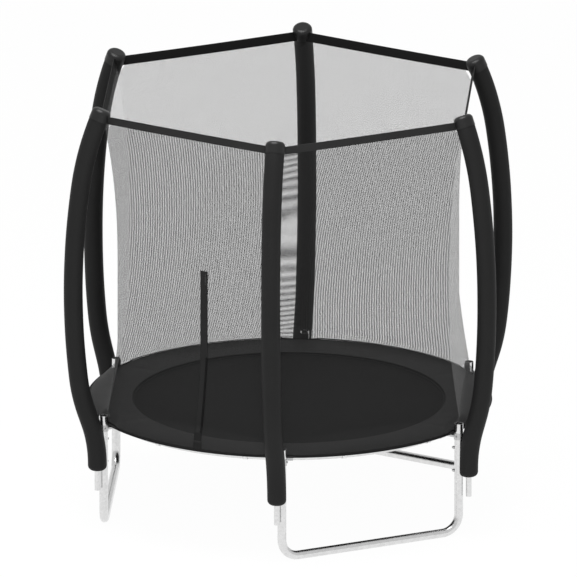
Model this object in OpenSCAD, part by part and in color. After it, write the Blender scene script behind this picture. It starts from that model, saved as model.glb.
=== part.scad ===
// Round garden trampoline with six bowed enclosure poles, a net with a zip door and three U-shaped legs.
// Millimetres, +Z up, origin on the ground at the centre of the jumping mat, +Y towards the back pole.

/* [Legs] */
// Diameter over the outsides of the six leg posts
frame_d = 1808; // [1600:2:2100]
// Diameter of the leg tube
leg_tube_d = 38; // [34:1:42]
// Wall of the leg tube
leg_wall = 1.5; // [1:0.1:2.5]
// Height of the open tops of the posts
post_top_z = 502; // [490:1:560]
// Centreline radius of the two bends at the foot of a leg
leg_bend_r = 78; // [60:1:110]
// Distance of each post from its pole, along the rim towards the other post of its leg
post_shift = 19; // [12:1:26]

/* [Rail] */
// Diameter of the rail tube under the pad
rail_tube_d = 25; // [22:1:28]
// Wall of the rail tube
rail_wall = 1.5; // [1:0.1:2.5]
// Distance from the posts' centres in to the rail's centreline
rail_setback = 70; // [62:1:80]
// Wall of the sockets that join the rail to the posts
socket_wall = 2; // [1.5:0.1:3]
// Length of a socket along the rail
socket_len = 90; // [70:1:120]
// Diameter of the arm from the rail to the post
arm_d = 22; // [16:1:24]
// Height of the collar round the post
collar_h = 28; // [24:1:30]
// Diameter of the cross bolt in a collar
collar_bolt_d = 6; // [5:0.5:8]

/* [Pad] */
// Distance from the posts' centre circle in to the pad's outer edge
pad_edge_in = 8; // [4:1:20]
// Width of the pad
pad_w = 201; // [190:1:230]
// Height of the pad's top above the ground
pad_top_z = 469; // [460:1:480]
// Thickness of the pad
pad_t = 8; // [6:0.5:12]
// Number of elastic straps that hold the pad to the rail
strap_n = 12; // [6:6:24]
// Width of an elastic strap
strap_w = 20; // [15:1:30]
// Thickness of an elastic strap
strap_t = 1.2; // [1:0.1:1.5]

/* [Mat] */
// Distance from the mat's edge out to the rail's centreline
spring_gap = 115; // [100:1:125]
// Thickness of the mat
mat_t = 2; // [1.5:0.1:3]
// Width of the webbing sewn round the mat's edge
mat_border_w = 34; // [25:1:40]
// Thickness of that webbing
mat_border_t = 1.5; // [1:0.1:2]
// Gap between the mat's webbing and the pad
mat_gap = 2.5; // [2:0.1:5]
// Number of springs
spring_n = 36; // [24:6:48]
// Wire of the springs
spring_wire_d = 2.6; // [2:0.1:3]
// Outer diameter of a spring's coils
spring_d = 14; // [12:0.5:16]
// Wire of the triangular rings on the mat's edge
ring_wire_d = 4; // [3:0.1:5]
// Width of a triangular ring where it meets the mat
ring_w = 34; // [26:1:40]
// Reach of a triangular ring from the mat's edge
ring_len = 22; // [20:1:26]

/* [Poles] */
// Diameter of the enclosure pole tube
pole_tube_d = 25; // [22:1:27]
// Wall of the pole tube
pole_wall = 1.2; // [1:0.1:2]
// Distance from the posts' centre circle out to the foot of a pole
pole_standoff = 39; // [36:1:46]
// Height of a pole's lower end
pole_foot_z = 177; // [150:1:200]
// Length of the upright run at a pole's foot
pole_foot_len = 118; // [110:1:130]
// Centreline radius of the first bend, outwards
kick_r = 583; // [540:1:640]
// Angle of the first bend
kick_a = 18.9; // [17:0.1:20]
// Length of the slanting run
slant_len = 52; // [30:1:80]
// Centreline radius of the bend back
back_r = 742; // [700:1:800]
// Angle of the bend back
back_a = 12.1; // [11:0.1:13]
// Centreline radius of the long bow
bow_r = 3193; // [3000:1:3400]
// Angle of the long bow
bow_a = 15.5; // [14.5:0.1:16.5]
// Centreline radius of the bend in at the top
top_r = 1179; // [1100:1:1300]
// Angle of the bend in at the top
top_a = 15.2; // [14.5:0.1:16]
// Turn of the bow's plane about the pole's foot
bow_twist = -7.9; // [-10:0.1:-4]
// Sideways lean of a pole
pole_lean = 0.4; // [0:0.1:0.8]
// Length of the swaged end that joins the two halves of a pole
swage_len = 60; // [40:1:80]
// Heights of the two bolts that hold a pole to its post
pole_bolt_z = [290, 392]; // [280:1:400]
// Diameter of those bolts
pole_bolt_d = 8; // [6:0.5:10]
// Diameter of the spacers between pole and post
spacer_d = 20; // [16:1:24]

/* [Foam] */
// Outer diameter of the foam sleeves
sleeve_d = 82; // [74:1:84]
// Height of a sleeve's lower end
sleeve_foot_z = 267; // [240:1:270]
// Rounding of the sleeve's lower edge
sleeve_edge_r = 22; // [8:0.5:24]
// Outer diameter of the caps
cap_w = 85; // [84:1:90]
// Rise of a cap beyond the foam
cap_rise = 35; // [30:1:45]
// Rounding of a cap's top
cap_edge_r = 20; // [12:1:20]
// Depth of a cap's skirt over the foam
cap_skirt = 18; // [10:1:30]
// Depth of a cap's plug in the pole, below the skirt
cap_plug = 12; // [8:1:30]

/* [Net] */
// Thickness of the net's cloth
net_t = 1.2; // [1:0.1:2]
// Height of the net's lower edge
net_foot_z = 470; // [470:0.5:474]
// Height of the net's lower corners, above the post tops
net_corner_z = 506; // [505:0.5:515]
// Distance from the posts' centre circle in to those corners
net_corner_in = 9; // [5:1:14]
// Height at which the seams begin to flare out to the rim
net_skirt_z = 830; // [780:1:860]
// Height at which the panels turn out over the pad to the rim
net_fold_z = 530; // [520:1:560]
// Distance from the posts' centre circle in to the seams at that height
net_skirt_in = 59; // [50:1:65]
// Height at which the seams begin to open out again
net_waist_z = 1200; // [1150:1:1250]
// Distance from the posts' centre circle in to the seams there
net_waist_in = 60; // [50:1:65]
// Distance from the posts' centre circle out to the seams at the top
net_top_out = 3; // [0:1:5]
// Length of net cut away beside each sleeve, along the band
net_notch = 36; // [34:1:50]

/* [Top band] */
// Width of the webbing band between the pole tops
band_w = 40; // [30:1:45]
// Thickness of the band
band_t = 3; // [2:0.1:4]
// Height of the band's lower edge
band_foot_z = 1815.5; // [1810:0.5:1824]
// Lean of the band outwards from its lower edge
band_lean = 19; // [10:1:25]
// Height of the webbing ties that hold the net to the post tops
tie_h = 24; // [20:1:26]
// Thickness of those ties
tie_t = 1.6; // [1:0.1:2]

/* [Zip] */
// Height of the lower end of the zip's teeth
zip_foot_z = 836; // [834:1:860]
// Length of the zip's teeth
zip_len = 384; // [300:1:400]
// Offset of the teeth from the middle of their panel
zip_offset = 47; // [20:1:60]
// Further offset of the zip's line where it meets the rim
zip_drift = 60; // [0:1:90]
// Width of the zip's tape
zip_w = 37; // [30:1:44]
// Distance of the teeth from the tape's right edge
teeth_edge = 5; // [4:0.5:12]
// Thickness of the tape
zip_tape_t = 1.2; // [1:0.1:1.5]
// Width of the teeth
teeth_w = 5; // [4:0.5:6]
// Height of the teeth above the tape
teeth_h = 1.6; // [1.2:0.1:2]
// Length of the slider
slider_len = 16; // [14:1:20]
// Thickness of the slider's plate
slider_t = 2; // [1.5:0.1:3]
// Length of the pull tab
pull_len = 42; // [30:1:60]
// Width of the pull tab
pull_w = 9; // [7:0.5:12]
// Thickness of the pull tab
pull_t = 1.6; // [1.2:0.1:2.5]

/* [Hidden] */

fit = 0.3;             // clearance round parts that slip over or into each other
seat = 0.2;            // clearance where a part seats on its neighbour
round_fn = 64;
pole_n = 6;
pole_step = 360 / pole_n;
tube_r = leg_tube_d / 2;
post_ring_r = frame_d / 2 - tube_r;
pole_ring_r = post_ring_r + pole_standoff;
rail_r = post_ring_r - rail_setback;
pad_foot_z = pad_top_z - pad_t;
rail_z = pad_foot_z - 2 * seat - socket_wall - rail_tube_d / 2;
pad_outer_r = post_ring_r - pad_edge_in;
pad_inner_r = pad_outer_r - pad_w;
mat_r = rail_r - spring_gap;
mat_top_z = pad_foot_z - mat_gap - mat_border_t;
steel = [0.80, 0.81, 0.82];
zinc = [0.68, 0.69, 0.70];
black = [0.15, 0.15, 0.15];
charcoal = [0.22, 0.22, 0.22];
net_grey = [0.25, 0.25, 0.25];
pale = [0.78, 0.78, 0.78];

// Poles and posts: number k counts anticlockwise from the front pole.
function pole_angle(k) = -90 + pole_step * k;
function pair_turn(k) = (k % 2 == 0 ? 1 : -1) * asin(post_shift / post_ring_r);
function post_angle(k) = pole_angle(k) + pair_turn(k);
function polar(r, a) = [r * cos(a), r * sin(a)];
function post_xy(k) = polar(post_ring_r, post_angle(k));
function turned(v, a) = [v.x * cos(a) - v.y * sin(a), v.x * sin(a) + v.y * cos(a)];

// A pole is a chain of [centreline radius, angle, length, stretched]: radius 0 is a straight run of that
// length, and a positive angle bends outwards. A stretched bend has a slightly thinner wall than its
// neighbours and laps into them.
lower_chain = [[0, 0, pole_foot_len, 0], [kick_r, kick_a, 0, 1], [0, 0, slant_len, 0],
    [back_r, -back_a, 0, 1]];
upper_chain = [[bow_r, -bow_a, 0, 0], [top_r, -top_a, 0, 1]];
pole_chain = concat(lower_chain, upper_chain);
swage_link = [bow_r, -swage_len / bow_r * 180 / PI, 0, 0];
tube_thinning = 0.05;
foam_thinning = 0.3;
joint_lap = 1;

module link_body(link, d, before = 0, after = 0) {
    if (link[0] == 0) {
        translate([0, 0, -before]) cylinder(d = d, h = link[2] + before + after, $fn = round_fn);
    } else {
        lap_before = before / link[0] * 180 / PI;
        lap_after = after / link[0] * 180 / PI;
        mirror([link[1] < 0 ? 1 : 0, 0, 0])
            translate([link[0], 0, 0])
                rotate([90, 0, 180])
                    rotate([0, 0, -lap_before])
                        rotate_extrude(angle = abs(link[1]) + lap_before + lap_after, $fn = 3 * round_fn)
                            translate([link[0], 0]) circle(d = d, $fn = round_fn);
    }
}

module ring_link(link, d, bore, before = 0, after = 0) {
    difference() {
        link_body(link, d, before, after);
        link_body(link, bore, before + 1, after + 1);
    }
}

module past_link(link) {
    reach = link[0] * (1 - cos(link[1]));
    translate([sign(link[1]) * reach, 0, link[2] + link[0] * sin(abs(link[1]))])
        rotate([0, link[1], 0]) children();
}

module past_chain(chain, i = 0) {
    if (i == len(chain)) children();
    else past_link(chain[i]) past_chain(chain, i + 1) children();
}

module tube_chain(chain, d, i = 0) {
    if (i < len(chain)) {
        stretched = chain[i][3];
        lap = stretched * joint_lap;
        link_body(chain[i], d - 2 * tube_thinning * stretched, lap, lap);
        past_link(chain[i]) tube_chain(chain, d, i + 1);
    }
}

module ring_chain(chain, d, bore, thinning, lap_first = 0, i = 0) {
    if (i < len(chain)) {
        stretched = chain[i][3];
        before = stretched * (i > 0 ? joint_lap : lap_first);
        after = stretched * (i < len(chain) - 1 ? joint_lap : 0);
        slim = 2 * thinning * stretched;
        ring_link(chain[i], d - slim, bore + slim, before, after);
        past_link(chain[i]) ring_chain(chain, d, bore, thinning, lap_first, i + 1);
    }
}

module place_pole(k) {
    rotate([0, 0, pole_angle(k)])
        translate([pole_ring_r, 0, pole_foot_z])
            rotate([0, 0, bow_twist])
                rotate([pole_lean, 0, 0]) children();
}

// Where a pole's centreline is at a height within its first bend.
function kick_rise(z) = max(0, z - pole_foot_z - pole_foot_len);
function kick_out(z) = kick_r - sqrt(kick_r * kick_r - kick_rise(z) * kick_rise(z));
function pole_xy(k, z) =
    turned([pole_ring_r, 0] + turned([kick_out(z), -sin(pole_lean) * (z - pole_foot_z)], bow_twist),
        pole_angle(k));

// Axis of a pole bolt: from the post's centre towards the pole's.
module on_bolt(k, z) {
    from = post_xy(k);
    to = pole_xy(k, z);
    translate([from.x, from.y, z])
        rotate([0, 0, atan2(to.y - from.y, to.x - from.x)])
            rotate([0, 90, 0]) children();
}
function bolt_span(k, z) = norm(pole_xy(k, z) - post_xy(k));

// Where a bolt's head seats on the slanting pole.
function kick_tilt(z) = asin(kick_rise(z) / kick_r);
function head_seat(k, z) =
    bolt_span(k, z) + pole_tube_d / 2 / cos(kick_tilt(z)) + pole_bolt_d * tan(kick_tilt(z)) + seat;

/* Legs: two posts and a foot bar bent from one tube. */
module leg_path(k, d, extra = 0) {
    from = post_xy(k);
    to = post_xy(k + 1);
    bar = norm(to - from) - 2 * leg_bend_r;
    straight = post_top_z - tube_r - leg_bend_r;
    translate([from.x, from.y, 0])
        rotate([0, 0, atan2(to.y - from.y, to.x - from.x)]) {
            for (far = [0, 1])
                translate([far * (bar + 2 * leg_bend_r), 0, 0]) mirror([far, 0, 0]) {
                    translate([0, 0, tube_r + leg_bend_r])
                        cylinder(d = d, h = straight + extra, $fn = round_fn);
                    translate([leg_bend_r, 0, tube_r + leg_bend_r])
                        rotate([90, 0, 0])
                            rotate([0, 0, 180])
                                rotate_extrude(angle = 90, $fn = 2 * round_fn)
                                    translate([leg_bend_r, 0]) circle(d = d, $fn = round_fn);
                }
            translate([leg_bend_r, 0, tube_r])
                rotate([0, 90, 0]) cylinder(d = d, h = bar, $fn = round_fn);
        }
}

module leg(k) {
    color(steel) difference() {
        leg_path(k, leg_tube_d);
        leg_path(k, leg_tube_d - 2 * leg_wall, 1);
        for (j = [k, k + 1]) {
            for (z = pole_bolt_z)
                on_bolt(j, z) cylinder(d = pole_bolt_d + fit, h = leg_tube_d + 2, center = true, $fn = 32);
            on_post(j) translate([0, 0, rail_z])
                rotate([90, 0, 0])
                    cylinder(d = collar_bolt_d + fit, h = leg_tube_d + 2, center = true, $fn = 32);
        }
    }
}

module on_post(k) {
    rotate([0, 0, post_angle(k)]) translate([post_ring_r, 0, 0]) children();
}

/* Rail: six arcs with their ends in the sockets. */
module rail_ring(d, from, to) {
    translate([0, 0, rail_z])
        rotate([0, 0, from])
            rotate_extrude(angle = to - from, $fn = 360)
                translate([rail_r, 0]) circle(d = d, $fn = round_fn);
}

function spring_angle(i) = pole_angle(0) + (i + 0.5) * 360 / spring_n;
spring_hole_d = spring_wire_d + 2 * fit;
rail_gap_a = 0.1;      // half the joint between two arcs, in degrees

module rail(k) {
    from = post_angle(k) + rail_gap_a;
    to = post_angle(k + 1) - rail_gap_a;
    color(steel) difference() {
        rail_ring(rail_tube_d, from, to);
        rail_ring(rail_tube_d - 2 * rail_wall, from - 1, to + 1);
        for (i = [0 : spring_n - 1]) {
            a = spring_angle(i) + (spring_angle(i) < from ? 360 : 0);
            if (a > from && a < to)
                rotate([0, 0, a]) translate([rail_r - rail_tube_d, 0, rail_z])
                    rotate([0, 90, 0]) cylinder(d = spring_hole_d, h = rail_tube_d, $fn = 32);
        }
    }
}

/* Sockets: a curved sleeve for two rail ends, an arm, and a collar round the post. */
collar_r = tube_r + seat + socket_wall;
socket_half_a = socket_len / rail_r * 90 / PI;

module rail_socket(k) {
    color(zinc) difference() {
        union() {
            rail_ring(rail_tube_d + 2 * (seat + socket_wall), post_angle(k) - socket_half_a,
                post_angle(k) + socket_half_a);
            on_post(k) {
                translate([-rail_setback, 0, rail_z])
                    rotate([0, 90, 0]) cylinder(d = arm_d, h = rail_setback, $fn = round_fn);
                translate([0, 0, rail_z - collar_h / 2])
                    cylinder(r = collar_r, h = collar_h, $fn = round_fn);
            }
        }
        rail_ring(rail_tube_d + 2 * seat, post_angle(k) - socket_half_a - 1,
            post_angle(k) + socket_half_a + 1);
        on_post(k) {
            translate([0, 0, rail_z - collar_h / 2 - 1])
                cylinder(r = tube_r + seat, h = collar_h + 2, $fn = round_fn);
            translate([0, 0, rail_z])
                rotate([90, 0, 0])
                    cylinder(d = collar_bolt_d + fit, h = 3 * collar_r, center = true, $fn = 32);
        }
    }
}

// Hexagon bolts with their nuts, across the collars.
module socket_bolts() {
    head_w = 1.7 * collar_bolt_d;
    head_t = 0.6 * collar_bolt_d;
    color(zinc) for (k = [0 : pole_n - 1])
        on_post(k) translate([0, 0, rail_z]) rotate([90, 0, 0]) {
            cylinder(d = collar_bolt_d, h = 2 * collar_r + 2 * head_t + 2, center = true, $fn = 32);
            for (side = [0, 1]) mirror([0, 0, side])
                translate([0, 0, collar_r + seat]) cylinder(d = head_w, h = head_t, $fn = 6);
        }
}

/* Enclosure poles in two halves. */
pole_bore = pole_tube_d - 2 * pole_wall;
swage_d = pole_bore - 2 * seat;
swage_bore = swage_d - 2 * pole_wall;
foot_links = [for (i = [0 : len(lower_chain) - 2]) lower_chain[i]];

module pole_lower(k) {
    color(steel) difference() {
        place_pole(k) {
            ring_chain(foot_links, pole_tube_d, pole_bore, tube_thinning);
            past_chain(foot_links)
                ring_link(lower_chain[3], pole_tube_d - 2 * tube_thinning, swage_bore, joint_lap, 0);
            past_chain(lower_chain)
                ring_link(swage_link, swage_d, swage_bore + 2 * tube_thinning, joint_lap, 0);
        }
        pole_holes(k, pole_bolt_d + fit);
    }
}

module pole_holes(k, d) {
    for (z = pole_bolt_z)
        on_bolt(k, z) translate([0, 0, bolt_span(k, z) - pole_tube_d])
            cylinder(d = d, h = 2 * pole_tube_d, $fn = 32);
}

module pole_upper(k) {
    color(steel) place_pole(k) past_chain(lower_chain)
        ring_chain(upper_chain, pole_tube_d, pole_bore, tube_thinning);
}

// Saddle spacers between the poles and the posts.
module pole_spacers() {
    color(black) for (k = [0 : pole_n - 1], z = pole_bolt_z)
        difference() {
            on_bolt(k, z) cylinder(d = spacer_d, h = bolt_span(k, z), $fn = round_fn);
            on_post(k) cylinder(r = tube_r, h = post_top_z, $fn = round_fn);
            place_pole(k) tube_chain([pole_chain[0], pole_chain[1]], pole_tube_d);
            on_bolt(k, z) cylinder(d = pole_bolt_d + fit, h = 2 * bolt_span(k, z), $fn = 32);
        }
}

bolt_head_h = 0.6 * pole_bolt_d;
nut_h = 0.8 * pole_bolt_d;

module pole_bolts() {
    color(zinc) for (k = [0 : pole_n - 1], z = pole_bolt_z)
        on_bolt(k, z) {
            far = head_seat(k, z);
            near = tube_r + nut_h + 4;
            translate([0, 0, -near]) cylinder(d = pole_bolt_d, h = near + far, $fn = 32);
            translate([0, 0, far]) cylinder(d = 2 * pole_bolt_d, h = bolt_head_h, $fn = 32);
        }
}

module pole_nuts() {
    color(zinc) for (k = [0 : pole_n - 1], z = pole_bolt_z)
        on_bolt(k, z) translate([0, 0, -tube_r - seat - nut_h]) difference() {
            cylinder(d = 1.8 * pole_bolt_d, h = nut_h, $fn = 6);
            translate([0, 0, -1]) cylinder(d = pole_bolt_d + seat, h = nut_h + 2, $fn = 32);
        }
}

/* Foam sleeves and their caps. */
sleeve_bore = pole_tube_d + 2 * fit;
pocket_gap = 2;        // room round a bolt's head in the foam

sleeve_chain = [for (i = [1 : len(pole_chain) - 1]) pole_chain[i]];

module sleeve_end() {
    inner = sleeve_d / 2 - sleeve_edge_r;
    rise = pole_foot_z + pole_foot_len - sleeve_foot_z;
    rotate_extrude($fn = round_fn) {
        translate([sleeve_bore / 2, 0]) square([inner - sleeve_bore / 2, rise]);
        translate([inner, sleeve_edge_r]) intersection() {
            circle(r = sleeve_edge_r, $fn = round_fn);
            translate([0, -sleeve_edge_r]) square(sleeve_edge_r);
        }
        translate([sleeve_bore / 2, sleeve_edge_r])
            square([(sleeve_d - sleeve_bore) / 2, rise - sleeve_edge_r]);
    }
}

module foam(k) {
    pocket_d = 2 * (pole_bolt_d + pocket_gap);
    color(black) difference() {
        place_pole(k) {
            translate([0, 0, sleeve_foot_z - pole_foot_z]) sleeve_end();
            past_link(pole_chain[0])
                ring_chain(sleeve_chain, sleeve_d, sleeve_bore, foam_thinning, joint_lap);
        }
        on_post(k) {
            cylinder(r = tube_r + fit, h = post_top_z + fit, $fn = round_fn);
            translate([0, 0, rail_z - collar_h / 2 - fit])
                cylinder(r = collar_r + fit, h = collar_h + 2 * fit, $fn = round_fn);
        }
        for (z = pole_bolt_z)
            on_bolt(k, z)
                cylinder(d = pocket_d, h = head_seat(k, z) + bolt_head_h + pocket_gap, $fn = 32);
    }
}

module cap(k) {
    inner = cap_w / 2 - cap_edge_r;
    color(black) place_pole(k) past_chain(pole_chain) {
        difference() {
            rotate_extrude($fn = round_fn) {
                translate([0, -cap_skirt]) square([cap_w / 2, cap_skirt + cap_rise - cap_edge_r]);
                square([inner, cap_rise]);
                translate([inner, cap_rise - cap_edge_r]) circle(r = cap_edge_r, $fn = round_fn);
            }
            translate([0, 0, -cap_skirt - 1])
                cylinder(d = sleeve_d + 2 * fit, h = cap_skirt + 1 + seat, $fn = round_fn);
        }
        translate([0, 0, -cap_skirt - cap_plug])
            cylinder(d = swage_d, h = cap_skirt + cap_plug + 2 * seat, $fn = round_fn);
    }
}

/* Enclosure net: six panels with a seam at each pole. Flat from seam to seam down to the fold,
   and turning out over the pad to the rim's circle below it. */
net_top_z = band_foot_z - seat;
net_corner_r = post_ring_r - net_corner_in;
net_skirt_r = post_ring_r - net_skirt_in;
net_waist_r = post_ring_r - net_waist_in;
net_top_r = post_ring_r + net_top_out;
skirt_depth = net_skirt_z - net_foot_z;

function seam_r(z) =
    z < net_skirt_z
        ? let (t = min(1, (net_skirt_z - z) / (net_skirt_z - net_corner_z)))
            net_skirt_r + (net_corner_r - net_skirt_r) * pow(t, 1.2)
    : z < net_waist_z
        ? net_skirt_r + (net_waist_r - net_skirt_r) * (z - net_skirt_z) / (net_waist_z - net_skirt_z)
    : net_waist_r + (net_top_r - net_waist_r) * pow((z - net_waist_z) / (net_top_z - net_waist_z), 2.2);
function skirt_t(z) = max(0, (net_skirt_z - z) / skirt_depth);
function fold_t(z) = max(0, (net_fold_z - z) / (net_fold_z - net_foot_z));
function fold_share(z) = 0.95 * fold_t(z);

// Between the two posts of a leg the lower edge rises over the post tops. Elsewhere it runs to the seam.
corner_flat = 43 / net_skirt_r;
corner_end = 62 / net_skirt_r;
function corner_lift(k, u) =
    k % 2 == 1 ? 0
    : (net_corner_z - net_foot_z) * max(0, min(1, (corner_end - min(u, 1 - u)) / (corner_end - corner_flat)));

// A point of panel k at share u from one seam to the next, moved out by t.
function net_point(k, u, level, t) =
    let (z = level + corner_lift(k, u) * pow(skirt_t(level), 2),
        a = pole_angle(k), b = a + pole_step, r = seam_r(z) + t,
        flat = (1 - u) * polar(r, a) + u * polar(r, b),
        bent = polar(r, a + u * pole_step),
        p = flat + fold_share(z) * (bent - flat))
    [p.x, p.y, z];

skirt_levels = concat([for (i = [0 : 5]) net_foot_z + (net_fold_z - net_foot_z) * i / 5],
    [for (i = [1 : 4]) net_fold_z + (net_skirt_z - net_fold_z) * i / 4]);
net_levels = concat(skirt_levels, [net_waist_z],
    [for (i = [1 : 6]) net_waist_z + (net_top_z - net_waist_z - net_notch) * i / 6], [net_top_z]);
net_columns = [0, 0.025, 0.053, 0.078, 0.12, 0.21, 0.31, 0.41, 0.5, 0.545, 0.59, 0.635, 0.69, 0.79, 0.88,
    0.922, 0.947, 0.975, 1];
net_edge = net_t / 2;   // half a cloth's thickness at a seam
foot_edge = 5;          // distance of the lower corners from the seam, clear of the posts' ties
apothem_share = cos(pole_step / 2);

// A strip of cloth on panel k, from_t to to_t out from the net's middle surface, between a low and a high
// share of the panel at each level and with its columns at the given shares of the strip.
module cloth(k, columns, levels, from_t, to_t, u_low, u_high) {
    rows = len(levels);
    wide = len(columns);
    cols = wide - 1;
    side = rows * wide;
    points = [for (t = [to_t, from_t], r = [0 : rows - 1], c = columns)
        net_point(k, u_low[r] + (u_high[r] - u_low[r]) * c, levels[r], t / apothem_share)];
    function quad(a, b, c, d) = [[a, b, c], [a, c, d]];
    faces = [
        for (r = [0 : rows - 2], c = [0 : cols - 1]) let (p = r * wide + c)
            each quad(p, p + wide, p + wide + 1, p + 1),
        for (r = [0 : rows - 2], c = [0 : cols - 1]) let (p = side + r * wide + c)
            each quad(p, p + 1, p + wide + 1, p + wide),
        for (r = [0 : rows - 2]) let (p = r * wide)
            each quad(p, p + side, p + side + wide, p + wide),
        for (r = [0 : rows - 2]) let (p = r * wide + cols)
            each quad(p, p + wide, p + wide + side, p + side),
        for (c = [0 : cols - 1])
            each quad(c, c + 1, c + 1 + side, c + side),
        for (c = [0 : cols - 1]) let (p = side - wide + c)
            each quad(p, p + side, p + side + 1, p + 1)
    ];
    polyhedron(points = points, faces = faces);
}

module net_panel(k) {
    function inset(z) =
        (z == net_top_z ? net_notch : z == net_foot_z ? foot_edge : net_edge) / seam_r(z);
    color(net_grey) cloth(k, net_columns, net_levels, -net_t / 2, net_t / 2,
        [for (z = net_levels) inset(z)], [for (z = net_levels) 1 - inset(z)]);
}

/* Webbing band between the pole tops: six straight runs that end at the sleeves. */
module top_band() {
    apothem = net_top_r * apothem_share;
    color(charcoal) for (k = [0 : pole_n - 1])
        difference() {
            rotate([0, 0, pole_angle(k) + pole_step / 2])
                translate([apothem, 0, band_foot_z])
                    rotate([0, band_lean, 0])
                        translate([-band_t / 2, -net_top_r / 2, 0])
                            cube([band_t, net_top_r, band_w]);
            for (j = [k, k + 1])
                place_pole(j) {
                    past_chain(lower_chain) tube_chain(upper_chain, sleeve_d + 2 * seat);
                    past_chain(pole_chain)
                        translate([0, 0, -cap_skirt - seat])
                            cylinder(d = cap_w + 2 * seat, h = cap_skirt + cap_rise, $fn = round_fn);
                }
        }
}

// Webbing ties round the inner side of the post tops.
module net_ties() {
    tie_a = 100;
    color(black) for (k = [0 : pole_n - 1])
        on_post(k) translate([0, 0, net_foot_z + fit])
            rotate([0, 0, 180 - tie_a])
                rotate_extrude(angle = 2 * tie_a, $fn = round_fn)
                    translate([tube_r + seat, 0]) square([tie_t, tie_h]);
}

/* Zip door in the front left panel. */
zip_panel = 5;
tape_foot = net_t / 2 + 0.4;    // the tape stands just clear of the net
zip_lean = atan(apothem_share * (net_skirt_r - net_waist_r) / (net_waist_z - net_skirt_z));
end_gap = 8;            // teeth left free above the slider
slider_rest = zip_len - slider_len - end_gap;
hinge_d = 2;            // pin that the pull hangs on
hinge_w = 8;            // its length, between the slider's two ears
eye_d = 4.8;            // the pull's eye round the pin
bar_out = teeth_h + fit + slider_t + eye_d / 2 + 2 * fit + seat;

module on_zip() {
    rotate([0, 0, pole_angle(zip_panel) + pole_step / 2])
        translate([seam_r(zip_foot_z) * apothem_share, zip_offset, zip_foot_z])
            rotate([0, -zip_lean, 0])
                translate([tape_foot, 0, 0]) children();
}

// The tape goes on down the skirt to the rim; the teeth stop at the end of the straight run.
module zip_tape() {
    levels = concat(skirt_levels, [zip_foot_z + zip_len * cos(zip_lean)]);
    root = 0.2;
    function share(z, edge) = 0.5 + (zip_offset + zip_drift * fold_t(z) + edge) / seam_r(z);
    color(black) cloth(zip_panel, [0, 0.25, 0.5, 0.75, 1], levels, tape_foot, tape_foot + zip_tape_t,
        [for (z = levels) share(z, teeth_edge - zip_w)], [for (z = levels) share(z, teeth_edge)]);
    color(black) on_zip()
        translate([zip_tape_t - root, -teeth_w / 2, 0]) cube([teeth_h + root, teeth_w, zip_len]);
}

module zip_slider() {
    width = teeth_w + 3 * slider_t;
    top = teeth_h + fit + slider_t;
    color(zinc) on_zip() translate([zip_tape_t, 0, slider_rest]) {
        difference() {
            translate([fit, -width / 2, 0]) cube([top - fit, width, slider_len]);
            translate([0, -teeth_w / 2 - fit, -1]) cube([teeth_h + fit, teeth_w + 2 * fit, slider_len + 2]);
        }
        for (side = [-1, 1])
            translate([top, side * hinge_w / 2 - pull_t / 2, slider_len / 2 - 0.7 * hinge_d])
                cube([bar_out - top + 0.7 * hinge_d, pull_t, 1.4 * hinge_d]);
        translate([bar_out, 0, slider_len / 2])
            rotate([90, 0, 0]) cylinder(d = hinge_d, h = hinge_w, center = true, $fn = 32);
    }
}

module zip_pull() {
    hinge = [zip_tape_t + bar_out, 0, slider_rest + slider_len / 2];
    neck_w = hinge_w - pull_t - 1.4;
    color(zinc) on_zip() translate(hinge) rotate([0, zip_lean, 0]) difference() {
        union() {
            rotate([90, 0, 0]) cylinder(d = eye_d, h = neck_w, center = true, $fn = 32);
            translate([-pull_t / 2, -neck_w / 2, -1.6 * neck_w]) cube([pull_t, neck_w, 1.6 * neck_w]);
            translate([-pull_t / 2, -pull_w / 2, -pull_len]) cube([pull_t, pull_w, pull_len - neck_w]);
        }
        rotate([90, 0, 0]) cylinder(d = hinge_d + 2 * fit, h = pull_w, center = true, $fn = 32);
        translate([-pull_t, 0, 0.7 * pull_w - pull_len])
            rotate([0, 90, 0]) cylinder(d = pull_w / 2, h = 2 * pull_t, $fn = 32);
    }
}

/* Spring pad, with a notch round each post. */
module pad() {
    edge_r = pad_t / 2;
    notch_r = tube_r + 1.5;
    color(charcoal) difference() {
        rotate_extrude($fn = 360) {
            translate([pad_inner_r + edge_r, pad_foot_z]) square([pad_w - 2 * edge_r, pad_t]);
            for (x = [pad_inner_r + edge_r, pad_outer_r - edge_r])
                translate([x, pad_foot_z + edge_r]) circle(r = edge_r, $fn = 32);
        }
        for (k = [0 : pole_n - 1])
            on_post(k) translate([0, 0, pad_foot_z - 1])
                cylinder(r = notch_r, h = pad_t + 2, $fn = round_fn);
    }
}

// Elastic straps under the pad, round the rail.
module pad_straps() {
    inner_d = 2 * (pad_foot_z - rail_z - seat - strap_t);
    color(pale) for (i = [0 : strap_n - 1])
        rotate([0, 0, pole_angle(0) + (i + 0.5) * 360 / strap_n + 5])
            translate([rail_r, 0, rail_z]) rotate([90, 0, 0]) difference() {
                cylinder(d = inner_d + 2 * strap_t, h = strap_w, center = true, $fn = round_fn);
                cylinder(d = inner_d, h = strap_w + 2, center = true, $fn = round_fn);
            }
}

/* Jumping mat, its webbing and the triangular rings. */
module mat() {
    color([0.13, 0.13, 0.13]) translate([0, 0, mat_top_z - mat_t]) cylinder(r = mat_r, h = mat_t, $fn = 180);
}

module mat_border() {
    color(charcoal) translate([0, 0, mat_top_z]) difference() {
        cylinder(r = mat_r, h = mat_border_t, $fn = 180);
        translate([0, 0, -1]) cylinder(r = mat_r - mat_border_w, h = mat_border_t + 2, $fn = 180);
    }
}

ring_z = mat_top_z - mat_t - ring_wire_d / 2;
ring_tuck = 8;          // length of a ring held under the mat's edge
ring_tip_w = 4;         // width of a ring's narrow end

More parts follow.
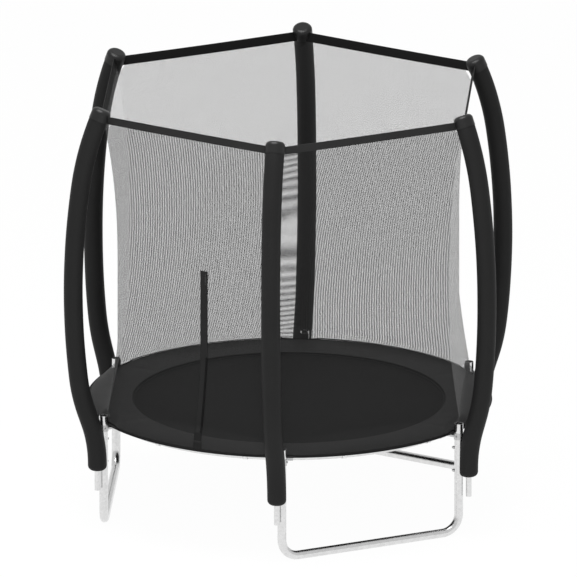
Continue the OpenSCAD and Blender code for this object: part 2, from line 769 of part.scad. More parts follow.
module mat_rings() {
    base = mat_r - ring_tuck;
    tip = mat_r + ring_len;
    module outline(grow) {
        polygon([[base + grow * 2, -ring_w / 2 + grow * 3], [tip - grow * 3, -ring_tip_w / 2],
            [tip - grow * 3, ring_tip_w / 2], [base + grow * 2, ring_w / 2 - grow * 3]]);
    }
    color(zinc) for (i = [0 : spring_n - 1])
        rotate([0, 0, spring_angle(i)])
            translate([0, 0, ring_z - ring_wire_d / 2]) linear_extrude(ring_wire_d) difference() {
                outline(0);
                outline(ring_wire_d / 3);
            }
}

// Springs: the coils' envelope, a hook round the ring and a pin in the rail's hole.
module springs() {
    hook_r = ring_wire_d / 2 + spring_wire_d / 2 + 0.8;
    apex = mat_r + ring_len - ring_wire_d / 2;
    hook_reach = 12;
    pin_past = 5;
    start = apex + hook_reach;
    stop = rail_r - rail_tube_d / 2 - hook_reach;
    drop = ring_z - rail_z;
    color(zinc) for (i = [0 : spring_n - 1])
        rotate([0, 0, spring_angle(i)]) {
            translate([apex, 0, ring_z]) rotate([90, 0, 0]) rotate([0, 0, 90])
                rotate_extrude(angle = 180, $fn = 48)
                    translate([hook_r, 0]) circle(d = spring_wire_d, $fn = 24);
            translate([apex, 0, ring_z - hook_r]) rotate([0, 90, 0])
                cylinder(d = spring_wire_d, h = start - apex + 1, $fn = 24);
            translate([start, 0, rail_z + drop / 2]) rotate([0, 90, 0])
                cylinder(d = spring_d, h = stop - start, $fn = 32);
            translate([stop - 1, 0, rail_z]) rotate([0, 90, 0])
                cylinder(d = spring_wire_d, h = hook_reach + rail_wall + pin_past, $fn = 24);
        }
}

leg(0);  // leg_front_right
leg(2);  // leg_back_right
leg(4);  // leg_left
rail(0);  // rail_1
rail(1);  // rail_2
rail(2);  // rail_3
rail(3);  // rail_4
rail(4);  // rail_5
rail(5);  // rail_6
rail_socket(0);  // rail_socket_a
rail_socket(1);  // rail_socket_b
rail_socket(2);  // rail_socket_c
rail_socket(3);  // rail_socket_d
rail_socket(4);  // rail_socket_e
rail_socket(5);  // rail_socket_f
socket_bolts();
pole_lower(0);  // pole_lower_a
pole_lower(1);  // pole_lower_b
pole_lower(2);  // pole_lower_c
pole_lower(3);  // pole_lower_d
pole_lower(4);  // pole_lower_e
pole_lower(5);  // pole_lower_f
pole_upper(0);  // pole_upper_a
pole_upper(1);  // pole_upper_b
pole_upper(2);  // pole_upper_c
pole_upper(3);  // pole_upper_d
pole_upper(4);  // pole_upper_e
pole_upper(5);  // pole_upper_f
pole_spacers();
pole_bolts();
pole_nuts();
foam(0);  // foam_a
foam(1);  // foam_b
foam(2);  // foam_c
foam(3);  // foam_d
foam(4);  // foam_e
foam(5);  // foam_f
cap(0);  // cap_a
cap(1);  // cap_b
cap(2);  // cap_c
cap(3);  // cap_d
cap(4);  // cap_e
cap(5);  // cap_f
net_panel(0);  // net_ab
net_panel(1);  // net_bc
net_panel(2);  // net_cd
net_panel(3);  // net_de
net_panel(4);  // net_ef
net_panel(5);  // net_fa
top_band();
net_ties();
zip_tape();
zip_slider();
zip_pull();
pad();
pad_straps();
mat();
mat_border();
mat_rings();
springs();
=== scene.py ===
import math

import bmesh
import bpy
from mathutils import Matrix, Vector, noise


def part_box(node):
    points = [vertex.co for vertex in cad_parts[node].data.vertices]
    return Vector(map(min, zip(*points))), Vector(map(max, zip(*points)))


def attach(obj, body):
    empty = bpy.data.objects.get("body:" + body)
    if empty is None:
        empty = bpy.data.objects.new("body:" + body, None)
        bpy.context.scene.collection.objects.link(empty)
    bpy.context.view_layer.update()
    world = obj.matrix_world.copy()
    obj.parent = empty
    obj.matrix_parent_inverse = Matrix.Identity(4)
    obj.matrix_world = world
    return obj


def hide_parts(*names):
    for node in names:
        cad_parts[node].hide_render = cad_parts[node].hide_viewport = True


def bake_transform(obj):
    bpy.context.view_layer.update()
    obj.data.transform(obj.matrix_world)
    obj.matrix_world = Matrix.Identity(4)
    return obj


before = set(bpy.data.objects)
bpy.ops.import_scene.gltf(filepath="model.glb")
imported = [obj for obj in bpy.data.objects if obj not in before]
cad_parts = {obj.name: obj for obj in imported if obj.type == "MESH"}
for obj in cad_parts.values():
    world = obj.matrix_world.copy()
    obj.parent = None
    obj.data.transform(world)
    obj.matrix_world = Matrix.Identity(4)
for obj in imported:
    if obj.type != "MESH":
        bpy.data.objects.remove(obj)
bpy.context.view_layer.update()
print("frame loaded,", len(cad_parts), "CAD nodes")

deg = math.radians
poleNames = "abcdef"
poleStep = deg(60)


def poleAngle(k):
    return deg(-90) + k * poleStep


class Wire:  # one output socket, with arithmetic
    def __init__(self, board, socket):
        self.board = board
        self.socket = socket

    def math(self, operation, other=None, flip=False):
        first, second = (other, self) if flip else (self, other)
        ends = [first] if second is None else [first, second]
        return self.board.put("ShaderNodeMath", {"operation": operation}, ends)

    def __add__(self, other):
        return self.math("ADD", other)

    def __radd__(self, other):
        return self.math("ADD", other)

    def __sub__(self, other):
        return self.math("SUBTRACT", other)

    def __rsub__(self, other):
        return self.math("SUBTRACT", other, True)

    def __mul__(self, other):
        return self.math("MULTIPLY", other)

    def __rmul__(self, other):
        return self.math("MULTIPLY", other)

    def __lt__(self, other):
        return self.math("LESS_THAN", other)


class Board:  # one material's nodes
    def __init__(self, name):
        self.material = bpy.data.materials.new(name)
        self.material.use_nodes = True
        self.tree = self.material.node_tree
        self.shader = self.tree.nodes["Principled BSDF"]

    def put(self, kind, settings=None, inputs=None, output=0):
        node = self.tree.nodes.new(kind)
        for key, value in (settings or {}).items():
            setattr(node, key, value)
        pairs = inputs.items() if isinstance(inputs, dict) else enumerate(inputs or [])
        for key, value in pairs:
            self.feed(node.inputs[key], value)
        return Wire(self, node.outputs[output])

    def feed(self, socket, value):
        if isinstance(value, Wire):
            self.tree.links.new(value.socket, socket)
        else:
            socket.default_value = value

    def dress(self, **looks):
        for key, value in looks.items():
            self.feed(self.shader.inputs[key], value)
        return self.material

    def spot(self):
        return self.put("ShaderNodeTexCoord", output="Object")

    def place(self, scale=(1, 1, 1)):  # Object coordinates, scaled
        return self.put("ShaderNodeMapping", {}, {"Vector": self.spot(), "Scale": scale})

    def cloud(self, scale, detail=3.0, stretch=(1, 1, 1), roughness=0.5):
        settings = {"Vector": self.place(stretch), "Scale": scale, "Detail": detail, "Roughness": roughness}
        return self.put("ShaderNodeTexNoise", {}, settings, "Fac")

    def blend(self, amount, low, high):  # a colour between two
        return self.put("ShaderNodeMix", {"data_type": "RGBA"}, {0: amount, 6: low, 7: high}, 2)

    def between(self, value, low, high):  # 0..1 noise spread over a range
        return value * (high - low) + low

    def bump(self, height, distance, strength=1.0):
        return self.put("ShaderNodeBump", {}, {"Strength": strength, "Distance": distance, "Height": height})

    def split(self, vector):
        parts = self.put("ShaderNodeSeparateXYZ", {}, {"Vector": vector})
        return parts, Wire(self, parts.socket.node.outputs[1]), Wire(self, parts.socket.node.outputs[2])

    def seam(self, name):  # a UV map in metres
        return self.split(self.put("ShaderNodeUVMap", {"uv_map": name}))


def grey(level):
    return (level, level, level, 1)


def wave(wire, period):  # 0..1 cosine of that period
    return (wire * (2 * math.pi / period)).math("COSINE") * 0.5 + 0.5


galvanisedLooks = {"tone": 0.82, "shade": 0.66, "smooth": 0.16, "rough": 0.30, "spangle": 90}


def galvanisedSteel():
    board = Board("galvanisedSteel")
    looks = galvanisedLooks
    placed = {"Vector": board.place(), "Scale": looks["spangle"]}
    spangle = board.put("ShaderNodeTexVoronoi", {}, placed, "Color")
    flake = board.split(spangle)[0]
    drawn = board.cloud(30, 4, (1, 1, 0.08))
    tone = board.blend(flake * 0.5 + drawn * 0.5, grey(looks["shade"]), grey(looks["tone"]))
    return board.dress(**{
        "Base Color": tone, "Metallic": 1.0,
        "Roughness": board.between(drawn, looks["smooth"], looks["rough"]),
        "Normal": board.bump(board.cloud(700, 2), 0.00015, 0.25)})


def zincPlate(name, tone, rough):
    board = Board(name)
    cloud = board.cloud(220, 4)
    return board.dress(**{
        "Base Color": board.blend(cloud, grey(tone * 0.75), grey(tone)), "Metallic": 1.0,
        "Roughness": board.between(board.cloud(90), rough, rough + 0.2),
        "Normal": board.bump(board.cloud(900, 2), 0.0001, 0.3)})


def foamSkin():
    board = Board("foamSkin")
    patch = board.cloud(7, 4)
    grain = board.cloud(1400, 2)
    return board.dress(**{
        "Base Color": board.blend(patch, grey(0.0072), grey(0.0105)),
        "Roughness": board.between(patch, 0.50, 0.62),
        "Specular IOR Level": 0.14,
        "Normal": board.bump(grain, 0.0003, 0.25)})


def mouldedPlastic(name, tone, rough, shine=0.5):
    board = Board(name)
    patch = board.cloud(60, 3)
    return board.dress(**{
        "Base Color": board.blend(patch, grey(tone * 0.85), grey(tone * 1.15)),
        "Roughness": board.between(board.cloud(25), rough, rough + 0.1),
        "Specular IOR Level": shine,
        "Normal": board.bump(board.cloud(1800, 2), 0.0002, 0.2)})


# the last two looks set a painted sheen: the grey the yarn takes at grazing views and how fast it falls off
netLooks = {"wale": 0.000757, "course": 0.0012, "strand": 0.41, "lace": 0.03, "sway": 0.10,
            "wander": 0.0003, "yarnLow": 0.010, "yarnHigh": 0.018, "paintedSheen": 0.24, "paintedSheenFall": 5}


def netMesh():  # fine knit: upright strands laced to each other, with small holes between
    board = Board("netMesh")
    looks = netLooks
    across, along, _ = board.seam("clothUv")
    across = across + (board.cloud(5, 2) - 0.5) * looks["wander"]
    along = along + (board.cloud(4, 2, (1, 1, 2)) - 0.5) * looks["wander"]
    row = along * (1 / looks["course"])
    swing = (row * math.pi).math("SINE") * looks["sway"]
    column = (across * (1 / looks["wale"]) + swing).math("FRACT")
    strand = column < looks["strand"]
    lace = row.math("FRACT") < looks["lace"]
    fibre = board.cloud(1500, 2, (1, 1, 0.2))
    facing = board.put("ShaderNodeLayerWeight", {}, {"Blend": 0.5}, "Facing")
    paintedSheen = facing.math("POWER", looks["paintedSheenFall"])  # painted sheen: the yarn's colour turns a paler grey where the cloth is seen at a grazing angle
    yarn = board.blend(fibre, grey(looks["yarnLow"]), grey(looks["yarnHigh"]))
    return board.dress(**{
        # the base colour mixes the yarn's tone with the painted sheen's pale grey
        "Base Color": board.blend(paintedSheen, yarn, grey(looks["paintedSheen"])),
        "Roughness": 0.75,
        "Specular IOR Level": 0.12,
        "Alpha": strand.math("MAXIMUM", lace),
        "Normal": board.bump(fibre, 0.0004, 0.4)})


def webbing(name, tone, rib=0.0016):
    board = Board(name)
    across, along, _ = board.seam("clothUv")
    weave = wave(across, rib) * 0.6 + wave(along, rib * 1.6) * 0.4
    fade = board.cloud(14, 4)
    return board.dress(**{
        "Base Color": board.blend(weave * 0.5 + fade * 0.5, grey(tone * 0.7), grey(tone * 1.3)),
        "Roughness": board.between(fade, 0.62, 0.78),
        "Specular IOR Level": 0.1,
        "Normal": board.bump(weave, 0.0004, 0.5)})


def coatedCloth():  # the pad's cover: a fine scrim under a soft coating
    board = Board("coatedCloth")
    east, north, _ = board.split(board.spot())
    thread = 0.0022
    scrim = wave(east, thread) * wave(north, thread)
    crease = board.cloud(11, 5, roughness=0.6)
    return board.dress(**{
        "Base Color": board.blend(crease, grey(0.011), grey(0.017)),
        "Roughness": board.between(crease, 0.50, 0.64),
        "Specular IOR Level": 0.16,
        "Normal": board.bump(scrim * 0.25 + crease, 0.0012, 0.5)})


def matWeave():  # flat woven strips
    board = Board("matWeave")
    east, north, _ = board.split(board.spot())
    strip = 0.0028
    checker = (wave(east, strip) - 0.5) * (wave(north, strip) - 0.5) * 4
    wear = board.cloud(3.5, 5)
    return board.dress(**{
        "Base Color": board.blend(wear, grey(0.0045), grey(0.007)),
        "Roughness": board.between(wear, 0.60, 0.72),
        "Specular IOR Level": 0.08,
        "Normal": board.bump(checker, 0.0005, 0.35)})


steel = galvanisedSteel()
hardware = zincPlate("zincPlate", 0.62, 0.25)
springSteel = zincPlate("springSteel", 0.66, 0.22)
zipMetal = zincPlate("zipMetal", 0.06, 0.35)
foam = foamSkin()
capPlastic = mouldedPlastic("capPlastic", 0.009, 0.30, 0.25)
spacerPlastic = mouldedPlastic("spacerPlastic", 0.022, 0.45)
zipPlastic = mouldedPlastic("zipPlastic", 0.005, 0.45)
netCloth = netMesh()
bandCloth = webbing("bandWebbing", 0.017)
# the same webbing at a darker tone for the band's inner face: painted shade
bandShadedFace = webbing("bandShadedFace", 0.003)
borderCloth = webbing("borderWebbing", 0.011)
tieCloth = webbing("tieWebbing", 0.007)
tapeCloth = webbing("zipTapeCloth", 0.0125, 0.0011)
elasticCloth = webbing("elastic", 0.62, 0.0012)
padCloth = coatedCloth()
pipingCloth = webbing("pipingCloth", 0.004, 0.0014)
matCloth = matWeave()
print("materials made")


def finishPiece(bm, name, material, body, node=None, smooth=True, modifiers=()):
    mesh = bpy.data.meshes.new(name)
    bm.to_mesh(mesh)
    bm.free()
    for face in mesh.polygons:
        face.use_smooth = smooth
    mesh.materials.append(material)
    piece = bpy.data.objects.new(name, mesh)
    bpy.context.scene.collection.objects.link(piece)
    for kind, settings in modifiers:
        modifier = piece.modifiers.new(kind.title(), kind)
        for key, value in settings.items():
            setattr(modifier, key, value)
    if body:
        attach(piece, body)
    if node:
        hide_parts(node)
    return piece


def thicken(thickness):
    return ("SOLIDIFY", {"thickness": thickness, "offset": 0})


def softEdge(width):
    return ("BEVEL", {"width": width, "segments": 2})


def ringAt(bm, diameter, segments, matrix):
    made = bmesh.ops.create_circle(bm, segments=segments, radius=diameter / 2, matrix=matrix)
    verts = made["verts"]
    return verts + list({edge for vert in verts for edge in vert.link_edges})


def runOn(bm, ring, move):
    edges = [g for g in ring if isinstance(g, bmesh.types.BMEdge)]
    made = bmesh.ops.extrude_edge_only(bm, edges=edges)["geom"]
    verts = [g for g in made if isinstance(g, bmesh.types.BMVert)]
    bmesh.ops.translate(bm, verts=verts, vec=move)
    ends = set(verts)
    return verts + [g for g in made if isinstance(g, bmesh.types.BMEdge) and ends.issuperset(g.verts)]


def bendOn(bm, ring, centre, axis, angle, steps):
    made = bmesh.ops.spin(bm, geom=ring, cent=centre, axis=axis, angle=angle, steps=steps, use_merge=False)
    return made["geom_last"]


def sweep(bm, ring, links, place, stepLength):
    # links are (bend radius, angle, length), heading along +Z and bending towards +X
    for radius, angle, length in links:
        heading = place.to_3x3()
        if radius == 0:
            steps = max(1, round(length / stepLength))
            for _ in range(steps):
                ring = runOn(bm, ring, heading @ Vector((0, 0, length / steps)))
            place = place @ Matrix.Translation((0, 0, length))
        else:
            middle = Vector((math.copysign(radius, angle), 0, 0))
            steps = max(3, round(radius * abs(angle) / stepLength))
            ring = bendOn(bm, ring, place @ middle, heading @ Vector((0, 1, 0)), angle, steps)
            turn = Matrix.Translation(middle) @ Matrix.Rotation(angle, 4, "Y") @ Matrix.Translation(-middle)
            place = place @ turn
    return ring, place


def outward(bm):
    bmesh.ops.remove_doubles(bm, verts=bm.verts, dist=1e-6)
    bmesh.ops.recalc_face_normals(bm, faces=bm.faces)


def joined(shapes):  # several bmeshes as one
    bm = bmesh.new()
    for shape in shapes:
        held = bpy.data.meshes.new("held")
        shape.to_mesh(held)
        shape.free()
        bm.from_mesh(held)
        bpy.data.meshes.remove(held)
    return bm


def layUv(bm, measure):  # writes a UV map in metres from each vertex
    layer = bm.loops.layers.uv.new("clothUv")
    for face in bm.faces:
        for loop in face.loops:
            loop[layer].uv = measure(loop.vert)


sleeve = {
    "diameter": 0.082, "bore": 0.0256, "boreDepth": 0.004, "edgeRound": 0.022, "edgeSteps": 7,
    "footZ": 0.267, "ripple": 0.00045, "ripplesPerMetre": Vector((14, 14, 7)), "segments": 40,
    "stepLength": 0.025,
}
polePath = {
    "ring": 0.924, "footZ": 0.177, "footLength": 0.118, "twist": deg(-7.9), "lean": deg(0.4),
    "links": [(0.583, deg(18.9), 0), (0, 0, 0.052), (0.742, deg(-12.1), 0),
              (3.193, deg(-15.5), 0), (1.179, deg(-15.2), 0)],
}


def polePlace(k):
    ring = Matrix.Translation((polePath["ring"], 0, polePath["footZ"]))
    foot = Matrix.Rotation(poleAngle(k), 4, "Z") @ ring
    return foot @ Matrix.Rotation(polePath["twist"], 4, "Z") @ Matrix.Rotation(polePath["lean"], 4, "X")


def sleeveSurface(k):
    bm = bmesh.new()
    size = sleeve
    place = polePlace(k) @ Matrix.Translation((0, 0, size["footZ"] - polePath["footZ"]))
    hole = place @ Matrix.Translation((0, 0, size["boreDepth"]))
    ring = ringAt(bm, size["bore"], size["segments"], hole)
    inner = size["diameter"] / 2 - size["edgeRound"]
    for i in range(size["edgeSteps"] + 1):  # from the hole out over the rounded lower edge
        a = math.pi / 2 * i / size["edgeSteps"]
        radius = inner + size["edgeRound"] * math.sin(a)
        rise = size["edgeRound"] * (1 - math.cos(a))
        ring = runOn(bm, ring, Vector((0, 0, 0)))
        verts = [g for g in ring if isinstance(g, bmesh.types.BMVert)]
        for vert in verts:
            flat = place.inverted() @ vert.co
            flat.z = 0
            vert.co = place @ (flat.normalized() * radius + Vector((0, 0, rise)))
    straight = polePath["footZ"] + polePath["footLength"] - size["footZ"] - size["edgeRound"]
    links = [(0, 0, straight)] + polePath["links"]
    place = place @ Matrix.Translation((0, 0, size["edgeRound"]))
    ring, top = sweep(bm, ring, links, place, size["stepLength"])
    bmesh.ops.contextual_create(bm, geom=[g for g in ring if isinstance(g, bmesh.types.BMEdge)])
    outward(bm)
    for vert in bm.verts:  # hand-made foam is never quite round
        ripple = noise.noise(vert.co * size["ripplesPerMetre"])
        vert.co += vert.normal * ripple * size["ripple"]
    return bm


for k, letter in enumerate(poleNames):
    piece = finishPiece(sleeveSurface(k), "foamSleeve_" + letter, foam, "frame", "foam_" + letter)
print("foam sleeves made")


net = {
    "footZ": 0.470, "foldZ": 0.530, "foldShare": 0.95, "cornerZ": 0.506, "cornerR": 0.876,
    "skirtZ": 0.830, "skirtR": 0.826, "waistZ": 1.200, "waistR": 0.825, "topZ": 1.8153, "topR": 0.888,
    "skirtCurve": 1.2, "topCurve": 2.2, "notch": 0.036,
    "cornerFlat": 0.043, "cornerEnd": 0.075, "cornerDraw": 0.0130, "cornerRise": 0.014,
    "columns": 48, "rows": 96, "rowSpread": 1.3, "slack": 0.0012,
    "hem": 0.005, "hemOut": 0.0008, "hemThickness": 0.0012,
    "grain": deg(3.2), "fan": 0.01, "bow": (0.0445, 0, -0.0138, 0.0442, 0, -0.0108), "bowZ": 1.1,
    "skew": (-0.0084, 0, 0.0043, -0.0012, 0, 0.0027), "flatWidth": 0.876,
}


def seamRadius(z):
    if z < net["skirtZ"]:
        share = min(1.0, (net["skirtZ"] - z) / (net["skirtZ"] - net["cornerZ"]))
        return net["skirtR"] + (net["cornerR"] - net["skirtR"]) * share ** net["skirtCurve"]
    if z < net["waistZ"]:
        share = (z - net["skirtZ"]) / (net["waistZ"] - net["skirtZ"])
        return net["skirtR"] + (net["waistR"] - net["skirtR"]) * share
    share = (z - net["waistZ"]) / (net["topZ"] - net["waistZ"])
    return net["waistR"] + (net["topR"] - net["waistR"]) * share ** net["topCurve"]


def foldDrop(z):  # 0 where the panels turn out over the pad, 1 at the rim
    return max(0.0, (net["foldZ"] - z) / (net["foldZ"] - net["footZ"]))


def cornerDraw(u, z):  # at the seams the lower edge passes inside the post tops
    near = min(u, 1 - u) * net["skirtR"]
    share = (net["cornerEnd"] - near) / (net["cornerEnd"] - net["cornerFlat"])
    low = (net["cornerZ"] + net["cornerRise"] - z) / net["cornerRise"]
    return net["cornerDraw"] * max(0.0, min(1.0, share)) * max(0.0, min(1.0, low))


def polar(radius, angle):
    return Vector((radius * math.cos(angle), radius * math.sin(angle), 0))


def netPoint(k, u, z, out=0.0):
    start = poleAngle(k)
    radius = seamRadius(z) - cornerDraw(u, z) + out / math.cos(poleStep / 2)
    flat = polar(radius, start).lerp(polar(radius, start + poleStep), u)
    spot = flat.lerp(polar(radius, start + u * poleStep), net["foldShare"] * foldDrop(z))
    return Vector((spot.x, spot.y, z))


def across(k, spot):  # the threads hang in upright planes that fan out a little
    chord = polar(1, poleAngle(k) + poleStep / 2 + math.pi / 2)
    if k % 3 == 1:
        return spot.dot(chord)
    grain = polar(1, net["grain"])
    away = polar(1, net["grain"] + math.pi / 2)
    true = spot.dot(grain) * (1 - net["fan"] * spot.dot(away)) / chord.dot(grain)
    rise = spot.z - net["bowZ"]
    return true + net["bow"][k] * rise * rise / 2 + net["skew"][k] * rise


def clothStrip(k, columns, rows, share, height, out):
    # share(u, z) is the place across the panel and height(v) the level, for u and v from 0 to 1
    bm = bmesh.new()
    bmesh.ops.create_grid(bm, x_segments=columns, y_segments=rows, size=0.5)
    layer = bm.loops.layers.uv.new("clothUv")
    measure = {}
    for vert in bm.verts:
        u, v = vert.co.x + 0.5, vert.co.y + 0.5
        z = height(v)
        place = share(u, z)
        vert.co = netPoint(k, place, z, out(place, z))
        measure[vert] = (across(k, vert.co), z)
    for face in bm.faces:
        for loop in face.loops:
            loop[layer].uv = measure[loop.vert]
    bmesh.ops.recalc_face_normals(bm, faces=bm.faces)
    bm.normal_update()
    middle = next(iter(bm.faces))
    if middle.normal.dot(middle.calc_center_median()) < 0:
        bmesh.ops.reverse_faces(bm, faces=bm.faces)
    return bm


def netSlack(k):
    def out(u, z):  # faint folds, none at the seams and the edges
        hold = math.sin(math.pi * u) * math.sin(math.pi * (z - net["footZ"]) / (net["topZ"] - net["footZ"]))
        fold = noise.noise(Vector((u * 6 + 10 * k, z * 1.6, k)))
        return max(0.0, hold) * fold * net["slack"]
    return out


def netHeight(v):
    return net["footZ"] + (net["topZ"] - net["footZ"]) * v ** net["rowSpread"]


def netShare(u, z):  # the top corners are cut off beside the sleeves
    cut = max(0.0, net["notch"] + z - net["topZ"]) / seamRadius(z)
    return cut + u * (1 - 2 * cut)


def hemHeight(v):
    return net["footZ"] + net["hem"] * (v - 0.5)


netLength = net["topZ"] - net["footZ"]
for k in range(6):
    pair = poleNames[k] + poleNames[(k + 1) % 6]
    cloth = clothStrip(k, net["columns"], net["rows"], netShare, netHeight, netSlack(k))
    panel = finishPiece(cloth, "netPanel_" + pair, netCloth, "frame", "net_" + pair)
    cloth = clothStrip(k, net["columns"], 2, netShare, hemHeight, lambda u, z: net["hemOut"])
    hem = finishPiece(cloth, "netHem_" + pair, tieCloth, "frame", None,
                      modifiers=[thicken(net["hemThickness"])])
print("net made")


band = {"width": 0.040, "thickness": 0.003, "footZ": 1.8155, "lean": deg(19), "sag": 0.0015, "tuck": 0.018,
        "edge": 0.0006}


def bandRuns():  # six runs between the sleeves, their ends just inside the foam
    bm = bmesh.new()
    layer = bm.loops.layers.uv.new("clothUv")
    for k in range(6):
        start, end = polar(net["topR"], poleAngle(k)), polar(net["topR"], poleAngle(k + 1))
        along = (end - start).normalized()
        run = (end - start).length - 2 * band["tuck"]
        middle = poleAngle(k) + poleStep / 2
        rise = polar(math.sin(band["lean"]), middle) + Vector((0, 0, math.cos(band["lean"])))
        made = bmesh.ops.create_grid(bm, x_segments=24, y_segments=4, size=0.5)["verts"]
        for vert in made:
            u, v = vert.co.x + 0.5, vert.co.y + 0.5
            sag = Vector((0, 0, band["footZ"] - band["sag"] * math.sin(math.pi * u)))
            vert.co = start.lerp(end, 0.5) + along * (u - 0.5) * run + rise * (v * band["width"]) + sag
            for loop in vert.link_loops:
                loop[layer].uv = (v * band["width"], u * run)
    bmesh.ops.recalc_face_normals(bm, faces=bm.faces)
    for face in bm.faces:
        if face.normal.dot(face.calc_center_median()) < 0:
            face.normal_flip()
    return bm


# the band's inner face takes the second, darker material: painted shade
bandThickness = {"thickness": band["thickness"], "offset": 0, "material_offset": 1}
topBand = finishPiece(bandRuns(), "topBand", bandCloth, "frame", "top_band",
                      modifiers=[("SOLIDIFY", bandThickness), softEdge(band["edge"])])
topBand.data.materials.append(bandShadedFace)
print("top band made")


zipDoor = {
    "panel": 5, "offset": 0.047, "drift": 0.060, "width": 0.037, "teethEdge": 0.005, "footZ": 0.836,
    "length": 0.384, "tapeThickness": 0.0012, "out": 0.0016,
    "toothWidth": 0.0034, "toothRise": 0.0020, "toothPitch": 0.0032, "toothHeight": 0.0018,
    "toothOut": 0.0030, "toothShift": 0.0008,
    "tabs": [(0.4715, 0.0180), (0.4960, 0.0200)], "tabWidth": 0.035, "tabThickness": 0.002, "tabOut": 0.0040,
    "tabEdge": 0.0005, "weltWidth": 0.009, "weltThickness": 0.0016, "weltFootZ": 0.500, "weltOut": 0.0032,
}
zipDraw = math.cos(poleStep / 2) * (net["skirtR"] - net["waistR"])
zipLean = math.atan(zipDraw / (net["waistZ"] - net["skirtZ"]))
zipTopZ = zipDoor["footZ"] + zipDoor["length"] * math.cos(zipLean)


def zipShare(edge, z):  # edge is measured from the line of the teeth, which turns aside over the pad
    offset = zipDoor["offset"] + zipDoor["drift"] * foldDrop(z) + edge
    return 0.5 + offset / seamRadius(z)


def tapeShare(u, z):
    return zipShare(zipDoor["teethEdge"] - (1 - u) * zipDoor["width"], z)


def tabShare(u, z):
    middle = zipDoor["teethEdge"] - zipDoor["width"] / 2
    return zipShare(middle + (u - 0.5) * zipDoor["tabWidth"], z)


def tapeHeight(v):
    return net["footZ"] + (zipTopZ - net["footZ"]) * v


def zipPlace():
    middle = poleAngle(zipDoor["panel"]) + poleStep / 2
    reach = seamRadius(zipDoor["footZ"]) * math.cos(poleStep / 2)
    foot = Vector((reach, zipDoor["offset"], zipDoor["footZ"]))
    return Matrix.Rotation(middle, 4, "Z") @ Matrix.Translation(foot) @ Matrix.Rotation(-zipLean, 4, "Y")


def zipTape():
    return clothStrip(zipDoor["panel"], 8, 90, tapeShare, tapeHeight, lambda u, z: zipDoor["out"])


def zipTeeth():
    bm = bmesh.new()
    count = int(zipDoor["length"] / zipDoor["toothPitch"])
    size = (zipDoor["toothRise"], zipDoor["toothWidth"], zipDoor["toothHeight"])
    place = zipPlace()
    for i in range(count):
        side = 1 if i % 2 else -1
        spot = Vector((zipDoor["toothOut"], side * zipDoor["toothShift"], (i + 0.5) * zipDoor["toothPitch"]))
        shape = place @ Matrix.Translation(spot) @ Matrix.Diagonal((*size, 1))
        bmesh.ops.create_cube(bm, size=1, matrix=shape)
    return bm


def zipTabs():
    shapes = []
    for foot, height in zipDoor["tabs"]:
        def level(v, foot=foot, height=height):
            return foot + height * v
        shapes.append(clothStrip(zipDoor["panel"], 4, 3, tabShare, level, lambda u, z: zipDoor["tabOut"]))
    return joined(shapes)


def weltShare(u, z):
    return zipShare((u - 0.5) * zipDoor["weltWidth"], z)


def weltHeight(v):
    return zipDoor["weltFootZ"] + (zipDoor["footZ"] - zipDoor["weltFootZ"]) * v


def zipShadeWelt():  # the closed edge below the teeth, a real strip whose near-black cloth is painted shade: the shadow of the flap along the edge
    return clothStrip(zipDoor["panel"], 2, 60, weltShare, weltHeight, lambda u, z: zipDoor["weltOut"])


finishPiece(zipTape(), "zipTape", tapeCloth, "frame", "zip_tape",
            modifiers=[thicken(zipDoor["tapeThickness"])])
finishPiece(zipTeeth(), "zipTeeth", zipPlastic, "frame", "zip_tape", smooth=False)
# the welt's near-black piping cloth is painted shade along the zip's edge
finishPiece(zipShadeWelt(), "zipShadeWelt", pipingCloth, "frame", None,
            modifiers=[thicken(zipDoor["weltThickness"])])
finishPiece(zipTabs(), "zipTabs", tieCloth, "frame", None,
            modifiers=[thicken(zipDoor["tabThickness"]), softEdge(zipDoor["tabEdge"])])
print("zip door made")


padLow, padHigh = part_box("pad")
pad = {
    "outerR": padHigh.x, "innerR": 0.676, "topZ": padHigh.z, "footZ": padLow.z, "panels": 6, "steps": 360,
    "rows": 22, "edgeRows": 8, "seamDip": 0.00192, "seamWidth": 14, "crease": 0.0009,
    "notchR": 0.0205, "piping": 0.0034, "pipingIn": 0.0006, "pipingRise": 0.0030,
}
postRing = {"radius": 0.885, "shift": 0.019}


def postPlace(k):
    shift = math.asin(postRing["shift"] / postRing["radius"]) * (1 if k % 2 == 0 else -1)
    return polar(postRing["radius"], poleAngle(k) + shift)


